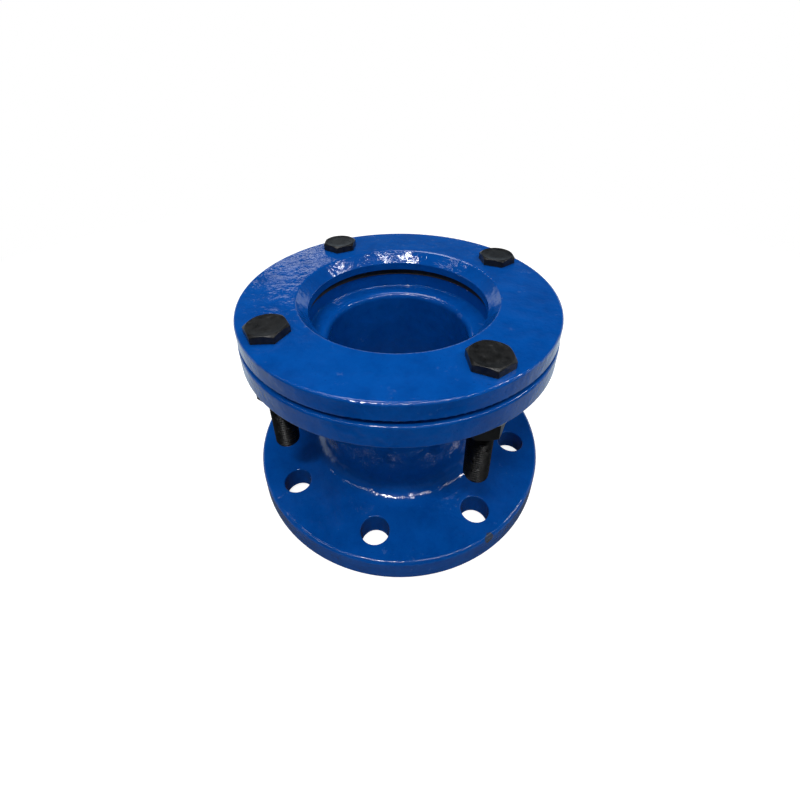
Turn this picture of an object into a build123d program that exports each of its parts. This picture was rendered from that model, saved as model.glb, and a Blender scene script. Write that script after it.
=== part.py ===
from build123d import *
import math
import os

# Flanged pipe adaptor with a bolted gland ring: the adaptor half of a dismantling joint.
# Millimetres. The origin is the centre of the bottom face, and +Z runs along the pipe axis.

# Pipe and waterway
PIPE_DIAMETER = 118.0
PIPE_CLEARANCE = 2.0
BORE_DIAMETER = 100.0
BORE_LIP_RADIUS = 4.5

# Fixed flange at the bottom
FLANGE_DIAMETER = 220.0
FLANGE_THICKNESS = 16.0
FLANGE_EDGE_RADIUS = 2.5
RAISED_FACE_WALL = 28.0
RAISED_FACE_HEIGHT = 3.0
FLANGE_HOLE_MARGIN = 20.0
FLANGE_HOLE_DIAMETER = 19.0
FLANGE_HOLE_COUNT = 8
FLANGE_HOLE_TURN = 2.5
HOLE_RIM_RADIUS = 0.8

# Neck and hub
NECK_LENGTH = 99.0
NECK_WALL = 9.0
NECK_HOLE_CLEARANCE = 7.5
HUB_WALL = 7.5
HUB_HEIGHT = 10.0
HUB_TAPER = 14.0
HUB_LOWER_FILLET = 8.0
HUB_UPPER_FILLET = 4.0

# Collar with its socket and gasket seat
COLLAR_OVERHANG = 0.5
COLLAR_THICKNESS = 15.0
SOCKET_CLEARANCE = 5.5
SOCKET_DEPTH = 15.5
SEAT_DEPTH = 4.5
SEAT_FLARE = 5.5
CAST_EDGE_RADIUS = 1.5
CAST_CORNER_RADIUS = 1.0

# Gland ring
GLAND_BOLT_MARGIN = 16.5
GLAND_THICKNESS = 12.0
GLAND_GAP = 3.0
MOUTH_BEVEL_WIDTH = 7.5
MOUTH_BEVEL_DEPTH = 8.0
NOSE_LENGTH = 1.5
NOSE_WALL = 7.0

# Gasket
GASKET_RECESS = 1.5
GASKET_GAP = 0.3

# Bolts, nuts and washers
BOLT_COUNT = 4
BOLT_START_ANGLE = 45.0
BOLT_DIAMETER = 16.0
BOLT_LENGTH = 90.0
BOLT_END_CHAMFER = 1.5
BOLT_HOLE_CLEARANCE = 1.0
THREAD_CLEARANCE = 0.08
HEX_ACROSS_FLATS = 24.0
HEX_CHAMFER_ANGLE = 30.0
HEAD_HEIGHT = 5.5
HEAD_TURNS = (5.0, 24.0, -30.0, 33.0)
NUT_HEIGHT = 13.0
WASHER_DIAMETER = 30.0
WASHER_THICKNESS = 3.0
WASHER_EDGE_CHAMFER = 0.4
WASHER_HUB_CLEARANCE = 3.0

# Cutting tools reach past the faces that they cut by this much
OVERRUN = 1.0
HEX_SIDES = 6
MATCH_TOLERANCE = 1e-3

# Heights from the flange face upwards
flange_top = RAISED_FACE_HEIGHT + FLANGE_THICKNESS
collar_bottom = flange_top + NECK_LENGTH
hub_bottom = collar_bottom - HUB_HEIGHT
taper_bottom = hub_bottom - HUB_TAPER
collar_top = collar_bottom + COLLAR_THICKNESS
seat_bottom = collar_top - SEAT_DEPTH
socket_floor = collar_top - SOCKET_DEPTH
gland_bottom = collar_top + GLAND_GAP
gland_top = gland_bottom + GLAND_THICKNESS
nose_bottom = gland_bottom - NOSE_LENGTH
washer_bottom = collar_bottom - WASHER_THICKNESS
nut_bottom = washer_bottom - NUT_HEIGHT

# Radii from the pipe and bore outwards
bore_radius = BORE_DIAMETER / 2
mouth_radius = PIPE_DIAMETER / 2 + PIPE_CLEARANCE
socket_radius = PIPE_DIAMETER / 2 + SOCKET_CLEARANCE
seat_radius = socket_radius + SEAT_FLARE
neck_radius = bore_radius + NECK_WALL
hub_radius = socket_radius + HUB_WALL
raised_face_radius = bore_radius + RAISED_FACE_WALL

washer_radius = WASHER_DIAMETER / 2
shank_radius = BOLT_DIAMETER / 2
bolt_hole_radius = shank_radius + BOLT_HOLE_CLEARANCE
thread_bore_radius = shank_radius + THREAD_CLEARANCE
bolt_circle_radius = hub_radius + WASHER_HUB_CLEARANCE + washer_radius
gland_radius = bolt_circle_radius + GLAND_BOLT_MARGIN
collar_radius = gland_radius + COLLAR_OVERHANG

flange_radius = FLANGE_DIAMETER / 2
flange_hole_radius = FLANGE_HOLE_DIAMETER / 2
flange_hole_circle_radius = flange_radius - FLANGE_HOLE_MARGIN
neck_fillet = flange_hole_circle_radius - flange_hole_radius - NECK_HOLE_CLEARANCE - neck_radius

bolt_places = PolarLocations(bolt_circle_radius, BOLT_COUNT, start_angle=BOLT_START_ANGLE)
flange_hole_places = PolarLocations(
    flange_hole_circle_radius, FLANGE_HOLE_COUNT, start_angle=FLANGE_HOLE_TURN)


def turned(corners):
    """A ring turned about Z from corners given as (radius, height, corner rounding)."""
    points = [(radius, height) for radius, height, _ in corners]
    roundings = [rounding for _, _, rounding in corners]
    with BuildPart() as ring:
        with BuildSketch(Plane.XZ):
            with BuildLine():
                FilletPolyline(*points, radius=roundings, close=True)
            make_face()
        revolve(axis=Axis.Z)
    return ring.part


def rod(radius, low, high):
    """A cylinder on Z between two heights."""
    return Pos(0, 0, low) * Cylinder(
        radius, high - low, align=(Align.CENTER, Align.CENTER, Align.MIN))


def drills(places, radius, low, high):
    """Cylinders at a pattern's places that cut right through from height low to height high."""
    drill = rod(radius, low - OVERRUN, high + OVERRUN)
    return [place * drill for place in places]


def rim_edges(part, height, radius):
    """The round edges of one radius that lie in the plane at one height."""
    circles = part.edges().filter_by(GeomType.CIRCLE)
    flat = [e for e in circles if abs(e.center().Z - height) < MATCH_TOLERANCE]
    return [e for e in flat if abs(e.radius - radius) < MATCH_TOLERANCE]


def body_casting():
    """Bottom flange, neck, hub, collar, socket and gasket seat, cast in one piece."""
    casting = turned([
        (bore_radius, 0, 0),
        (raised_face_radius, 0, 0),
        (raised_face_radius, RAISED_FACE_HEIGHT, 0),
        (flange_radius, RAISED_FACE_HEIGHT, CAST_CORNER_RADIUS),
        (flange_radius, flange_top, FLANGE_EDGE_RADIUS),
        (neck_radius, flange_top, neck_fillet),
        (neck_radius, taper_bottom, HUB_LOWER_FILLET),
        (hub_radius, hub_bottom, HUB_UPPER_FILLET),
        (hub_radius, collar_bottom, 0),
        (collar_radius, collar_bottom, CAST_EDGE_RADIUS),
        (collar_radius, collar_top, CAST_EDGE_RADIUS),
        (seat_radius, collar_top, 0),
        (socket_radius, seat_bottom, 0),
        (socket_radius, socket_floor, CAST_EDGE_RADIUS),
        (bore_radius, socket_floor, BORE_LIP_RADIUS),
    ])
    casting -= drills(flange_hole_places, flange_hole_radius, RAISED_FACE_HEIGHT, flange_top)
    casting -= drills(bolt_places, bolt_hole_radius, collar_bottom, collar_top)
    return fillet(rim_edges(casting, flange_top, flange_hole_radius), HOLE_RIM_RADIUS)


def gland_ring():
    """Loose ring that presses the gasket, with a wide bevel leading into its mouth."""
    ring = turned([
        (mouth_radius, nose_bottom, 0),
        (mouth_radius + NOSE_WALL, nose_bottom, 0),
        (mouth_radius + NOSE_WALL, gland_bottom, 0),
        (gland_radius, gland_bottom, CAST_CORNER_RADIUS),
        (gland_radius, gland_top, CAST_EDGE_RADIUS),
        (mouth_radius + MOUTH_BEVEL_WIDTH, gland_top, CAST_EDGE_RADIUS),
        (mouth_radius, gland_top - MOUTH_BEVEL_DEPTH, CAST_CORNER_RADIUS),
    ])
    return ring - drills(bolt_places, bolt_hole_radius, gland_bottom, gland_top)


def gasket():
    """Wedge ring of rubber between the collar's seat and the gland's nose."""
    slope = SEAT_FLARE / SEAT_DEPTH
    inner = mouth_radius + GASKET_RECESS
    bottom = seat_bottom + GASKET_GAP
    top = nose_bottom - GASKET_GAP
    bottom_outer = socket_radius + GASKET_GAP * slope - 2 * GASKET_GAP
    top_outer = seat_radius - 2 * GASKET_GAP
    return turned([
        (inner, bottom, 0),
        (bottom_outer, bottom, 0),
        (top_outer, collar_top, 0),
        (top_outer, top, 0),
        (inner, top, 0),
    ])


def corner_cone(height):
    """A solid that turns a hexagon's corners off with a cone below a given height."""
    inner = HEX_ACROSS_FLATS / 2
    outer = HEX_ACROSS_FLATS
    drop = (outer - inner) * math.tan(math.radians(HEX_CHAMFER_ANGLE))
    return turned([
        (0, height, 0),
        (0, -height - drop, 0),
        (outer, -height - drop, 0),
        (outer, height - drop, 0),
        (inner, height, 0),
    ])


def hexagon(height):
    """Hexagonal prism from Z=0 up, with the corners of its top turned off."""
    corner_radius = HEX_ACROSS_FLATS / math.sqrt(3)
    return extrude(RegularPolygon(corner_radius, HEX_SIDES), height) & corner_cone(height)


def bolt():
    """Hex bolt hanging from its head, which sits on Z=0, with its shank below."""
    shank = rod(shank_radius, -BOLT_LENGTH, 0)
    shank = chamfer(rim_edges(shank, -BOLT_LENGTH, shank_radius), BOLT_END_CHAMFER)
    return hexagon(HEAD_HEIGHT) + shank


def nut():
    """Full hex nut from Z=0 up, with the corners of both ends turned off."""
    flipped_cone = Pos(0, 0, NUT_HEIGHT) * Rot(180, 0, 0) * corner_cone(NUT_HEIGHT)
    blank = hexagon(NUT_HEIGHT) & flipped_cone
    return blank - drills([Pos(0, 0, 0)], thread_bore_radius, 0, NUT_HEIGHT)


def washer():
    """Plain washer from Z=0 up."""
    disc = rod(washer_radius, 0, WASHER_THICKNESS)
    disc -= drills([Pos(0, 0, 0)], bolt_hole_radius, 0, WASHER_THICKNESS)
    rims = rim_edges(disc, WASHER_THICKNESS, washer_radius) + rim_edges(disc, 0, washer_radius)
    return chamfer(rims, WASHER_EDGE_CHAMFER)


def save(name, shape):
    shape.label = name
    export_step(shape, f"parts/{name}.step")


os.makedirs("parts", exist_ok=True)
save("body_casting", body_casting())
save("gland_ring", gland_ring())
save("gasket", gasket())

for number, place in enumerate(bolt_places, start=1):
    head_turn = HEAD_TURNS[(number - 1) % len(HEAD_TURNS)]
    save(f"bolt_{number}", Pos(0, 0, gland_top) * place * Rot(0, 0, head_turn) * bolt())
    save(f"nut_{number}", Pos(0, 0, nut_bottom) * place * nut())
    save(f"washer_{number}", Pos(0, 0, washer_bottom) * place * washer())
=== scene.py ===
"""Looks for the flanged pipe adaptor: blue epoxy castings, black bolts, zinc washers and rubber.

Lengths are in metres, with the pipe's axis along Z and the floor at Z=0. Colours are linear RGB.
"""

import math

import bpy
from mathutils import Matrix, Vector


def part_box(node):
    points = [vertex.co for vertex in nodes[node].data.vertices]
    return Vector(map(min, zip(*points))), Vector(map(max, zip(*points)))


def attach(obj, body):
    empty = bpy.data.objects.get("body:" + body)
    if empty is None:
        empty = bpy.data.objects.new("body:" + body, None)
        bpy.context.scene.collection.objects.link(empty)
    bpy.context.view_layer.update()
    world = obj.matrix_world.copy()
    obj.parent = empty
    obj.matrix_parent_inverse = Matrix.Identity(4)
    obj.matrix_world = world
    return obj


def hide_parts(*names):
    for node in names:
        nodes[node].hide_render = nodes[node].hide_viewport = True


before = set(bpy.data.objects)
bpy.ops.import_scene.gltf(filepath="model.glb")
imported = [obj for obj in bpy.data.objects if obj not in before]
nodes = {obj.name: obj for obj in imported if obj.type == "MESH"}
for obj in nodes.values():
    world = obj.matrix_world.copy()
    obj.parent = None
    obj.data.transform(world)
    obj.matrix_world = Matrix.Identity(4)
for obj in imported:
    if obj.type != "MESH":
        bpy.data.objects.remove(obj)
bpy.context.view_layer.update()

MM = 0.001
FLANGE_TOP = 19.0 * MM
BOLT_BODIES = ("bolt_a", "bolt_b", "bolt_c", "bolt_d")
casting_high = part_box("body_casting")[1]
gland_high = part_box("gland_ring")[1]
gasket_low, gasket_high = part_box("gasket")

# ---------------------------------------------------------------- places

VIEW_TURN = math.radians(12.89)
turn_about_pipe = Matrix.Rotation(VIEW_TURN, 4, "Z")


def from_view(right, away, up):
    """A point given as right, away and up from the camera's side of the pipe."""
    return turn_about_pipe @ Vector((right, away, up))


def polar_point(radius, degrees, height):
    """A point at a radius and a height, turned about the pipe's axis from +X."""
    turn = math.radians(degrees)
    return (radius * math.cos(turn), radius * math.sin(turn), height)


# ---------------------------------------------------------------- meshes


def circle(radius, height, sides):
    """A ring of points about the Z axis."""
    step = 2 * math.pi / sides
    return [(radius * math.cos(k * step), radius * math.sin(k * step), height) for k in range(sides)]


def grid_piece(name, rings, closed_ends=True):
    """A mesh skinned over rings of points, with its first and last rings capped if wanted."""
    count = len(rings[0])
    points = [tuple(point) for ring in rings for point in ring]
    faces = []
    for row in range(len(rings) - 1):
        below, above = row * count, (row + 1) * count
        for k in range(count):
            following = (k + 1) % count
            faces.append((below + k, below + following, above + following, above + k))
    if closed_ends:
        faces.append(tuple(reversed(range(count))))
        faces.append(tuple(range((len(rings) - 1) * count, len(rings) * count)))
    mesh = bpy.data.meshes.new(name)
    mesh.from_pydata(points, [], faces)
    mesh.validate()
    piece = bpy.data.objects.new(name, mesh)
    bpy.context.scene.collection.objects.link(piece)
    return piece


def smooth(piece, sharp_angle):
    """Shade a piece smooth, apart from edges that turn by more than an angle in degrees."""
    for face in piece.data.polygons:
        face.use_smooth = True
    piece.data.set_sharp_from_angle(angle=math.radians(sharp_angle))


# ---------------------------------------------------------------- node graphs


class Graph:
    """A short way to write a material's or the world's nodes."""

    # The colour sockets of a Mix node, which also has sockets for numbers and vectors.
    MIX_COLOUR_A = 6
    MIX_COLOUR_B = 7
    MIX_COLOUR_OUT = 2

    def __init__(self, tree):
        self.tree = tree

    def add(self, kind, **values):
        node = self.tree.nodes.new(kind)
        for key, value in values.items():
            setattr(node, key, value)
        return node

    def feed(self, socket, value):
        """Put a number, a colour or another node's output into a socket."""
        if isinstance(value, (int, float)):
            socket.default_value = value
        elif isinstance(value, tuple):
            socket.default_value = (*value, 1.0)
        else:
            self.tree.links.new(value, socket)

    def coordinates(self):
        return self.add("ShaderNodeTexCoord").outputs["Object"]

    def noise(self, vector, scale, detail=2.0, roughness=0.5, distortion=0.0):
        node = self.add("ShaderNodeTexNoise")
        self.feed(node.inputs["Vector"], vector)
        self.feed(node.inputs["Scale"], scale)
        self.feed(node.inputs["Detail"], detail)
        self.feed(node.inputs["Roughness"], roughness)
        self.feed(node.inputs["Distortion"], distortion)
        return node.outputs["Fac"]

    def ramp(self, level, stops):
        """Colours laid out over a level, each stop a place from 0 to 1 and its colour."""
        node = self.add("ShaderNodeValToRGB")
        elements = node.color_ramp.elements
        while len(elements) < len(stops):
            elements.new(0.5)
        for element, (place, colour) in zip(elements, stops):
            element.position = place
            element.color = (*colour, 1.0)
        self.feed(node.inputs["Fac"], level)
        return node.outputs["Color"]

    def map_range(self, value, source, target):
        """Carry a value over from one range of numbers to another, held at its ends."""
        node = self.add("ShaderNodeMapRange")
        self.feed(node.inputs["Value"], value)
        for name, number in zip(("From Min", "From Max", "To Min", "To Max"), (*source, *target)):
            self.feed(node.inputs[name], number)
        return node.outputs["Result"]

    def multiply(self, a, b):
        node = self.add("ShaderNodeMath", operation="MULTIPLY")
        self.feed(node.inputs[0], a)
        self.feed(node.inputs[1], b)
        return node.outputs[0]

    def vector_math(self, operation, a, b=None):
        """The number that comes from a vector operation on a vector and, where needed, a point."""
        node = self.add("ShaderNodeVectorMath", operation=operation)
        self.feed(node.inputs[0], a)
        if b is not None:
            node.inputs[1].default_value = b
        return node.outputs["Value"]

    def near(self, vector, point, radius, core):
        """0 outside a ball about a point, rising to 1 at the share of its radius that is its core."""
        distance = self.vector_math("DISTANCE", vector, point)
        return self.map_range(distance, (radius, radius * core), (0.0, 1.0))

    def mix(self, share, a, b):
        node = self.add("ShaderNodeMix", data_type="RGBA")
        self.feed(node.inputs["Factor"], share)
        self.feed(node.inputs[self.MIX_COLOUR_A], a)
        self.feed(node.inputs[self.MIX_COLOUR_B], b)
        return node.outputs[self.MIX_COLOUR_OUT]

    def bump(self, height, strength, distance, below=None):
        node = self.add("ShaderNodeBump")
        self.feed(node.inputs["Strength"], strength)
        self.feed(node.inputs["Distance"], distance)
        self.feed(node.inputs["Height"], height)
        if below is not None:
            self.feed(node.inputs["Normal"], below)
        return node.outputs["Normal"]

    def emission(self, strength, colour=(1.0, 1.0, 1.0)):
        node = self.add("ShaderNodeEmission")
        self.feed(node.inputs["Color"], colour)
        self.feed(node.inputs["Strength"], strength)
        return node.outputs[0]

    def mix_shaders(self, share, a, b):
        node = self.add("ShaderNodeMixShader")
        for socket, source in zip(node.inputs, (share, a, b)):
            self.feed(socket, source)
        return node.outputs[0]

    def add_shaders(self, a, b):
        node = self.add("ShaderNodeAddShader")
        self.feed(node.inputs[0], a)
        self.feed(node.inputs[1], b)
        return node.outputs[0]


def grey(value):
    return (value, value, value)


# ---------------------------------------------------------------- materials

BLUE = (0.0008, 0.075, 0.370)
BLUE_THIN = (0.0020, 0.092, 0.430)
BLUE_DEEP = (0.0004, 0.058, 0.300)
CHIP_COLOUR = (0.045, 0.060, 0.095)
SCUFF_COLOUR = (0.42, 0.40, 0.46)
RUB_COLOUR = (0.075, 0.16, 0.42)
ZINC_DULL = (0.62, 0.60, 0.55)
ZINC_BRIGHT = (0.82, 0.80, 0.74)
CHIP_CORE = 0.45
SCUFF_CORE = 0.2


def new_material(name):
    material = bpy.data.materials.new(name)
    material.use_nodes = True
    return material, Graph(material.node_tree), material.node_tree.nodes["Principled BSDF"].inputs


def epoxy_colour(g, at, chips, scuffs):
    """Clouded blue with pinprick pits, chipped and scuffed spots and sparse rubbed patches."""
    cloud = g.noise(at, scale=45.0, detail=6.0, roughness=0.72)
    colour = g.ramp(cloud, [(0.30, BLUE_DEEP), (0.52, BLUE), (0.78, BLUE_THIN)])
    pits = g.noise(at, scale=620.0, detail=1.0)
    colour = g.mix(g.ramp(pits, [(0.24, grey(1.0)), (0.29, grey(0.0))]), colour, BLUE_DEEP)
    ragged = g.noise(at, scale=420.0, detail=3.0, roughness=0.7)
    for point, radius in chips:
        spot = g.multiply(g.near(at, point, radius, CHIP_CORE), ragged)
        colour = g.mix(g.ramp(spot, [(0.30, grey(0.0)), (0.38, grey(1.0))]), colour, CHIP_COLOUR)
    for point, radius in scuffs:
        spot = g.multiply(g.near(at, point, radius, SCUFF_CORE), ragged)
        colour = g.mix(g.ramp(spot, [(0.36, grey(0.0)), (0.52, grey(0.55))]), colour, SCUFF_COLOUR)
    rubbed = g.multiply(g.noise(at, scale=55.0), g.noise(at, scale=260.0, detail=4.0, roughness=0.7))
    return g.mix(g.ramp(rubbed, [(0.375, grey(0.0)), (0.45, grey(0.35))]), colour, RUB_COLOUR)


def blue_epoxy(name, waviness, chips=(), scuffs=()):
    """Glossy fusion-bonded epoxy with orange peel over the slow waves of the cast skin."""
    material, g, sockets = new_material(name)
    at = g.coordinates()
    g.feed(sockets["Base Color"], epoxy_colour(g, at, chips, scuffs))
    dull = g.noise(at, scale=35.0, detail=3.0)
    g.feed(sockets["Roughness"], g.ramp(dull, [(0.35, grey(0.07)), (0.70, grey(0.17))]))
    g.feed(sockets["Specular IOR Level"], 0.5)
    g.feed(sockets["Coat Weight"], 0.35)
    g.feed(sockets["Coat Roughness"], 0.05)
    waves = g.bump(g.noise(at, scale=90.0), strength=waviness, distance=1.0 * MM)
    peel_height = g.noise(at, scale=380.0, roughness=0.6, distortion=0.3)
    peel = g.bump(peel_height, strength=0.30, distance=0.5 * MM, below=waves)
    grain = g.bump(g.noise(at, scale=1100.0, detail=1.0), strength=0.05, distance=0.2 * MM, below=peel)
    g.feed(sockets["Normal"], grain)
    g.feed(sockets["Coat Normal"], peel)
    return material


def black_oxide(name, rub, metallic=0.35, specular=0.5):
    """Black oxide on steel, slightly oily, rubbed lighter in specks and along a fine grain."""
    material, g, sockets = new_material(name)
    at = g.coordinates()
    cloud = g.noise(at, scale=240.0, detail=4.0, roughness=0.65)
    colour = g.ramp(cloud, [(0.35, grey(0.010)), (0.62, grey(0.022)), (0.80, grey(rub))])
    g.feed(sockets["Base Color"], colour)
    g.feed(sockets["Roughness"], g.ramp(cloud, [(0.30, grey(0.26)), (0.75, grey(0.46))]))
    g.feed(sockets["Metallic"], metallic)
    g.feed(sockets["Specular IOR Level"], specular)
    grain = g.bump(g.noise(at, scale=900.0, detail=3.0, roughness=0.7), strength=0.35, distance=0.2 * MM)
    dents = g.bump(g.noise(at, scale=160.0), strength=0.25, distance=0.4 * MM, below=grain)
    g.feed(sockets["Normal"], dents)
    return material


def zinc(name):
    """Bright zinc plate with a faint grain."""
    material, g, sockets = new_material(name)
    at = g.coordinates()
    cloud = g.noise(at, scale=180.0, detail=3.0)
    g.feed(sockets["Base Color"], g.ramp(cloud, [(0.3, ZINC_DULL), (0.7, ZINC_BRIGHT)]))
    g.feed(sockets["Roughness"], g.ramp(cloud, [(0.3, grey(0.28)), (0.7, grey(0.42))]))
    g.feed(sockets["Metallic"], 0.9)
    g.feed(sockets["Normal"], g.bump(g.noise(at, scale=700.0), strength=0.15, distance=0.2 * MM))
    return material


def rubber(name):
    """Matt black moulded rubber with a dusting of bloom."""
    material, g, sockets = new_material(name)
    at = g.coordinates()
    cloud = g.noise(at, scale=300.0, detail=3.0)
    g.feed(sockets["Base Color"], g.ramp(cloud, [(0.3, grey(0.012)), (0.75, grey(0.035))]))
    g.feed(sockets["Roughness"], g.ramp(cloud, [(0.3, grey(0.60)), (0.7, grey(0.80))]))
    g.feed(sockets["Normal"], g.bump(g.noise(at, scale=1200.0), strength=0.2, distance=0.2 * MM))
    return material


# ---------------------------------------------------------------- castings, nuts and washers

CHIP_ANGLE = -45.4
CHIP_SIZE = 5.5 * MM
CHIP_BELOW_RIM = 2.0 * MM
SEAT_HEIGHT = 129.0 * MM
SEAT_RADIUS = 64.5 * MM
# Angle in degrees and size of each scuff on the gasket's seat.
SCUFFS = ((55.0, 4.0 * MM), (62.0, 3.0 * MM), (47.0, 3.5 * MM), (141.0, 3.0 * MM))

rim_chips = [(polar_point(casting_high.x, CHIP_ANGLE, FLANGE_TOP - CHIP_BELOW_RIM), CHIP_SIZE)]
seat_scuffs = [(polar_point(SEAT_RADIUS, angle, SEAT_HEIGHT), size) for angle, size in SCUFFS]


def assign(name, material):
    """Give one material to a piece that is kept as it was built."""
    mesh = nodes[name].data
    mesh.materials.clear()
    mesh.materials.append(material)


assign("body_casting", blue_epoxy("body_blue", waviness=0.85, chips=rim_chips, scuffs=seat_scuffs))
assign("gland_ring", blue_epoxy("gland_blue", waviness=0.70))
nut_black = black_oxide("nut_black", rub=0.05)
washer_zinc = zinc("washer_zinc")
for number in range(1, len(BOLT_BODIES) + 1):
    assign(f"nut_{number}", nut_black)
    assign(f"washer_{number}", washer_zinc)

# ---------------------------------------------------------------- gasket

GASKET_SIDES = 192
GASKET_INNER_LOW = 64.0 * MM
GASKET_INNER_HIGH = 66.0 * MM
GASKET_SHOULDER = 133.0 * MM

# Radius and height of each corner of the gasket's section, hollowed towards the pipe.
gasket_outline = [
    (GASKET_INNER_HIGH, gasket_high.z),
    (gasket_high.x, gasket_high.z),
    (gasket_high.x, GASKET_SHOULDER),
    (GASKET_INNER_LOW, gasket_low.z),
    (GASKET_INNER_HIGH, gasket_high.z),
]
gasket_rings = [circle(radius, height, GASKET_SIDES) for radius, height in gasket_outline]
gasket_ring = grid_piece("gasket_ring", gasket_rings, closed_ends=False)
gasket_ring.data.materials.append(rubber("gasket_black"))
smooth(gasket_ring, sharp_angle=30.0)
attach(gasket_ring, "body")
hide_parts("gasket")

# ---------------------------------------------------------------- bolts

FIRST_BOLT_ANGLE = 45.0
BOLT_STEP = 90.0
# How far each head has a corner turned from the line out of the pipe's axis, in degrees.
HEAD_TURNS = (5.0, 24.0, -30.0, 33.0)

HEX_SIDES = 96
ACROSS_FLATS = 24.0 * MM
CHAMFER_SLOPE = math.tan(math.radians(30.0))
HEAD_EDGE = 0.25 * MM
DISH_RIM = 4 * HEAD_EDGE
DISH_EDGE = 6 * HEAD_EDGE
DISH_DEPTH = 0.12 * MM

# The thread's depth grows with groove_share by FLANK_SLOPE, less CREST_FLAT, up to its full depth.
# Faces whose groove_share is over GROOVE_SHADE_SHARE get painted shade, a darker and duller finish for the
# bottom of the groove.
SHANK_SIDES = 40
SHANK_RADIUS = 8.0 * MM
THREAD_PITCH = 2.0 * MM
THREAD_DEPTH = 1.25 * MM
STEPS_PER_PITCH = 6
FLANK_SLOPE = 1.25
CREST_FLAT = 0.15
GROOVE_SHADE_SHARE = 0.58
END_TAPER = 3.0 * MM
END_SHRINK = 0.38

bolt_black = black_oxide("bolt_black", rub=0.07)
thread_black = black_oxide("thread_black", rub=0.20, metallic=0.7)
# Painted shade: a darker, duller copy of the black oxide for the bottom of the thread's groove.
groove_painted_shade = black_oxide("groove_painted_shade", rub=0.006, specular=0.1)


def hex_radius(angle, turn):
    """Distance from the axis to a hexagon's side at an angle, for a hexagon with a corner at turn."""
    sixth = math.radians(60.0)
    from_flat = (angle - turn) % sixth - sixth / 2
    return ACROSS_FLATS / 2 / math.cos(from_flat)


def bolt_head(name, height, turn):
    """Hex head from Z=0 up: chamfered corners, a turned top face with a faint dished middle."""
    angles = [k * 2 * math.pi / HEX_SIDES for k in range(HEX_SIDES)]
    flat = ACROSS_FLATS / 2

    def hexagon(inset, height_at):
        radii = [hex_radius(angle, turn) - inset for angle in angles]
        return [(radius * math.cos(angle), radius * math.sin(angle), height_at(radius))
                for radius, angle in zip(radii, angles)]

    def chamfer_height(radius):
        return height - max(0.0, radius - flat + HEAD_EDGE) * CHAMFER_SLOPE

    rings = [
        hexagon(HEAD_EDGE, lambda radius: 0.0),
        hexagon(0.0, lambda radius: HEAD_EDGE),
        hexagon(0.0, lambda radius: chamfer_height(radius) - HEAD_EDGE / 2),
        hexagon(HEAD_EDGE / 2, chamfer_height),
        circle(flat - HEAD_EDGE, height, HEX_SIDES),
        circle(flat - DISH_RIM, height, HEX_SIDES),
        circle(flat - DISH_EDGE, height - DISH_DEPTH, HEX_SIDES),
        circle(flat / 2, height - DISH_DEPTH, HEX_SIDES),
    ]
    return grid_piece(name, rings)


def thread_rows(length):
    """How many rows of faces a shank of some length has."""
    return int(round(length / THREAD_PITCH * STEPS_PER_PITCH))


def groove_share(height, around):
    """0 in the middle of the crest and 1 in the middle of the groove, around being a share of a turn."""
    phase = (height / THREAD_PITCH - around) % 1.0
    return 1 - abs(2 * phase - 1)


def shank_radius(height, around, above_end):
    """Radius of the threaded shank, which tapers towards its end."""
    depth_share = min(1.0, max(0.0, FLANK_SLOPE * groove_share(height, around) - CREST_FLAT))
    radius = SHANK_RADIUS - THREAD_DEPTH * depth_share
    if above_end < END_TAPER:
        towards_end = 1 - above_end / END_TAPER
        radius = min(radius, SHANK_RADIUS * (1 - END_SHRINK * towards_end ** 2))
    return radius


def threaded_shank(name, length):
    """Threaded shank hanging below Z=0, with a helical thread and a tapered end."""
    rows = thread_rows(length)
    rings = []
    for row in range(rows + 1):
        height = -length * (1 - row / rows)
        ring = []
        for k in range(SHANK_SIDES):
            around = k / SHANK_SIDES
            radius = shank_radius(height, around, height + length)
            ring.append(polar_point(radius, 360.0 * around, height))
        rings.append(ring)
    return grid_piece(name, rings)


def paint_groove_shade(shank, length):
    """Paint shade into the thread: the faces at the bottom of the groove get a darker, less shiny finish
    that stands in for shade.
    """
    rows = thread_rows(length)
    shank.data.materials.append(groove_painted_shade)
    for face in list(shank.data.polygons)[:rows * SHANK_SIDES]:
        row, k = divmod(face.index, SHANK_SIDES)
        height = -length * (1 - (row + 0.5) / rows)
        if groove_share(height, (k + 0.5) / SHANK_SIDES) > GROOVE_SHADE_SHARE:
            face.material_index = 1


def dress_bolt(number, body, head_turn):
    """A chamfered head and a threaded shank in place of one bolt."""
    low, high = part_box(f"bolt_{number}")
    length = gland_high.z - low.z
    angle = FIRST_BOLT_ANGLE + BOLT_STEP * (number - 1)
    reach = math.hypot((low.x + high.x) / 2, (low.y + high.y) / 2)
    seat = Vector(polar_point(reach, angle, gland_high.z))
    head = bolt_head(f"bolt_head_{number}", high.z - gland_high.z, math.radians(angle + head_turn))
    shank = threaded_shank(f"bolt_thread_{number}", length)
    for piece, sharp_angle, finish in ((head, 30.0, bolt_black), (shank, 60.0, thread_black)):
        piece.data.transform(Matrix.Translation(seat))
        piece.data.materials.append(finish)
        smooth(piece, sharp_angle)
        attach(piece, body)
    paint_groove_shade(shank, length)
    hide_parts(f"bolt_{number}")


for number, (body, head_turn) in enumerate(zip(BOLT_BODIES, HEAD_TURNS), start=1):
    dress_bolt(number, body, head_turn)

# ---------------------------------------------------------------- floor

# Radii of the floor's rings are shares of its radius.
FLOOR_RADIUS = 2.6
FLOOR_SHARES = (0.02, 0.2, 0.5, 0.8, 1.0)
CENTRE_SHARES = (0.0201, 0.0005)
CURVE_RADIUS = 0.9
CURVE_STEPS = 12
FLOOR_SIDES = 96
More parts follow.
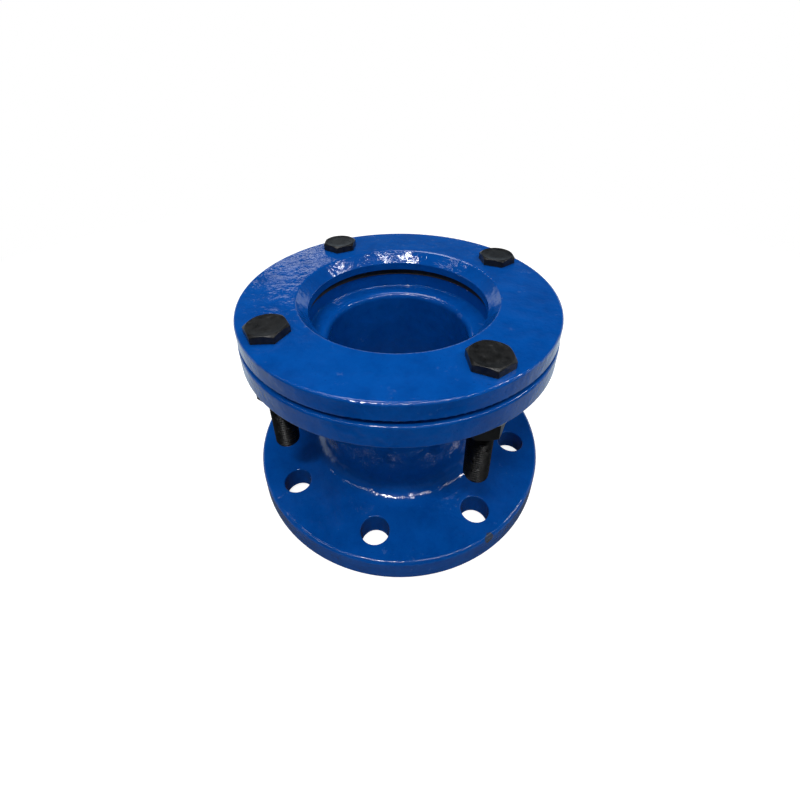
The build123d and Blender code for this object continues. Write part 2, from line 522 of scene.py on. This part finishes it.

# The floor fades to plain white over FADE_RANGE, from the part outwards. In reflections it
# brightens away from the camera over MIRRORED_RANGE, and carries painted shadow under the part that lifts
# outwards over UNDER_SHADOW_RANGE.
FLOOR_COLOUR = 0.52
FLOOR_LIFT = 0.86
FADE_RANGE = (0.30, 0.75)
MIRRORED_RANGE = (-0.22, 0.16)
MIRRORED_LEVELS = (0.0, 0.85)
UNDER_SHADOW_RANGE = (0.10, 0.15)
UNDER_SHADOW_LEVELS = (0.06, 1.0)
FLOOR_TINT = (0.75, 0.88, 1.0)


def floor_bowl():
    """A round floor that curves up into a low wall on all sides."""
    profile = [(FLOOR_RADIUS * share, 0.0) for share in FLOOR_SHARES]
    for k in range(1, CURVE_STEPS + 1):
        bend = math.radians(90.0 * k / CURVE_STEPS)
        profile.append((FLOOR_RADIUS + CURVE_RADIUS * math.sin(bend), CURVE_RADIUS * (1 - math.cos(bend))))
    bowl = grid_piece("floor", [circle(radius, height, FLOOR_SIDES) for radius, height in profile],
                      closed_ends=False)
    bowl.data.polygons.foreach_set("use_smooth", [True] * len(bowl.data.polygons))
    return bowl


def floor_centre():
    """A small disc over the bowl's middle, where its rings leave a hole."""
    rings = [circle(FLOOR_RADIUS * share, 0.0, FLOOR_SIDES) for share in CENTRE_SHARES]
    return grid_piece("floor_centre", rings, closed_ends=False)


def white_floor():
    """White floor that keeps the shadow near the part, fades to plain white, and mirrors dim, darkened by
    painted shadow under the part.
    """
    material = bpy.data.materials.new("floor_white")
    material.use_nodes = True
    g = Graph(material.node_tree)
    g.tree.nodes.clear()
    at = g.coordinates()
    path = g.add("ShaderNodeLightPath").outputs
    distance = g.vector_math("LENGTH", at)

    diffuse = g.add("ShaderNodeBsdfDiffuse")
    g.feed(diffuse.inputs["Color"], grey(FLOOR_COLOUR))
    lift = g.emission(g.multiply(path["Is Camera Ray"], FLOOR_LIFT))
    lit = g.add_shaders(diffuse.outputs[0], lift)
    fade = g.map_range(distance, FADE_RANGE, (0.0, 1.0))
    seen = g.mix_shaders(g.multiply(fade, path["Is Camera Ray"]), lit, g.emission(1.0))

    away = g.vector_math("DOT_PRODUCT", at, from_view(0, 1, 0))
    level = g.map_range(away, MIRRORED_RANGE, MIRRORED_LEVELS)
    # Painted shadow: in reflections the floor is darkened under the part, where its shade falls.
    under = g.map_range(distance, UNDER_SHADOW_RANGE, UNDER_SHADOW_LEVELS)
    mirrored = g.emission(g.multiply(level, under), FLOOR_TINT)

    surface = g.mix_shaders(path["Is Glossy Ray"], seen, mirrored)
    g.feed(g.add("ShaderNodeOutputMaterial").inputs["Surface"], surface)
    return material


floor_material = white_floor()
for piece in (floor_bowl(), floor_centre()):
    piece.data.materials.append(floor_material)

# ---------------------------------------------------------------- world

# What mirrors see falls from one level to the other as the direction's upward share rises.
WORLD_LIGHT = 0.22
WORLD_MIRRORED_RANGE = (0.20, 0.60)
WORLD_MIRRORED_LEVELS = (0.16, 0.01)
WORLD_TINT = (0.45, 0.72, 1.0)


def studio_world():
    """White to the camera, dim to the lit surfaces, and dimmer still, fading upwards, to mirrors."""
    world = bpy.data.worlds.new("studio")
    bpy.context.scene.world = world
    world.use_nodes = True
    g = Graph(world.node_tree)
    path = g.add("ShaderNodeLightPath").outputs
    direction = g.add("ShaderNodeSeparateXYZ")
    g.feed(direction.inputs[0], g.add("ShaderNodeTexCoord").outputs["Generated"])
    mirrored = g.map_range(direction.outputs["Z"], WORLD_MIRRORED_RANGE, WORLD_MIRRORED_LEVELS)
    tinted = g.add("ShaderNodeVectorMath", operation="SCALE")
    tinted.inputs[0].default_value = WORLD_TINT
    g.feed(tinted.inputs["Scale"], mirrored)
    level = g.mix(path["Is Glossy Ray"], grey(WORLD_LIGHT), tinted.outputs[0])
    level = g.mix(path["Is Camera Ray"], level, grey(1.0))
    g.feed(g.tree.nodes["Background"].inputs["Color"], level)


studio_world()

# ---------------------------------------------------------------- lamps

LAMP_TARGET = (0, 0, 0.08)
# Name, place as right, away and up from the camera's side, width and depth, and power in watts.
LAMPS = (
    ("overhead", (-0.20, 0.30, 1.38), (0.6, 0.5), 5.2),
    ("ceiling_strip", (0.0, -0.62, 1.22), (1.9, 0.025), 2.6),
    ("ceiling_wide", (-0.20, -0.60, 1.22), (0.28, 0.10), 4.9),
    ("ceiling_side_right", (0.95, -0.28, 1.22), (0.9, 0.025), 0.8),
    ("ceiling_side_left", (-0.95, -0.28, 1.22), (0.9, 0.025), 0.6),
    ("ceiling_small", (0.27, -0.58, 1.22), (0.10, 0.07), 0.9),
    ("ceiling_far", (0.58, -0.55, 1.22), (0.10, 0.07), 0.9),
    ("ceiling_right", (1.18, 0.05, 1.22), (0.16, 0.12), 2.4),
    ("window", (-0.36, 1.14, 0.64), (0.24, 0.07), 0.10),
)


def area_light(name, place, size, power):
    """A rectangular lamp aimed at the part."""
    light = bpy.data.lights.new(name, "AREA")
    light.shape = "RECTANGLE"
    light.size, light.size_y = size
    light.energy = power
    lamp = bpy.data.objects.new(name, light)
    bpy.context.scene.collection.objects.link(lamp)
    lamp.location = place
    lamp.rotation_euler = (Vector(LAMP_TARGET) - place).to_track_quat("-Z", "Y").to_euler()


for lamp_name, lamp_place, lamp_size, lamp_power in LAMPS:
    area_light(lamp_name, from_view(*lamp_place), lamp_size, lamp_power)

# ---------------------------------------------------------------- camera

CAMERA_DISTANCE = 249.7 * MM
CAMERA_HEIGHT = 287.8 * MM
CAMERA_PITCH = math.radians(30.61)
CAMERA_YAW = math.radians(-0.34)
CAMERA_ROLL = math.radians(-0.61)
CAMERA_CLIP = 10.0 * MM
FOCAL_LENGTH = 18.98
SENSOR_WIDTH = 36.0
LENS_SHIFT = (0.0051, -0.1234)


def view_axes():
    """The camera's right, up and backward axes, from its pitch, yaw and roll."""
    forward = Vector((math.sin(CAMERA_YAW) * math.cos(CAMERA_PITCH),
                      math.cos(CAMERA_YAW) * math.cos(CAMERA_PITCH),
                      -math.sin(CAMERA_PITCH)))
    level_right = Vector((math.cos(CAMERA_YAW), -math.sin(CAMERA_YAW), 0.0))
    level_up = level_right.cross(forward)
    right = math.cos(CAMERA_ROLL) * level_right + math.sin(CAMERA_ROLL) * level_up
    return Matrix((right, right.cross(forward), -forward)).transposed().to_4x4()


def place_camera():
    """The main view, looking down into the mouth of the gland."""
    lens = bpy.data.cameras.new("camera")
    lens.lens = FOCAL_LENGTH
    lens.sensor_width = SENSOR_WIDTH
    lens.shift_x, lens.shift_y = LENS_SHIFT
    lens.clip_start = CAMERA_CLIP
    camera = bpy.data.objects.new("camera", lens)
    bpy.context.scene.collection.objects.link(camera)
    place = Matrix.Translation((0, -CAMERA_DISTANCE, CAMERA_HEIGHT))
    camera.matrix_world = turn_about_pipe @ place @ view_axes()
    bpy.context.scene.camera = camera


place_camera()

bpy.context.scene.view_settings.view_transform = "Standard"
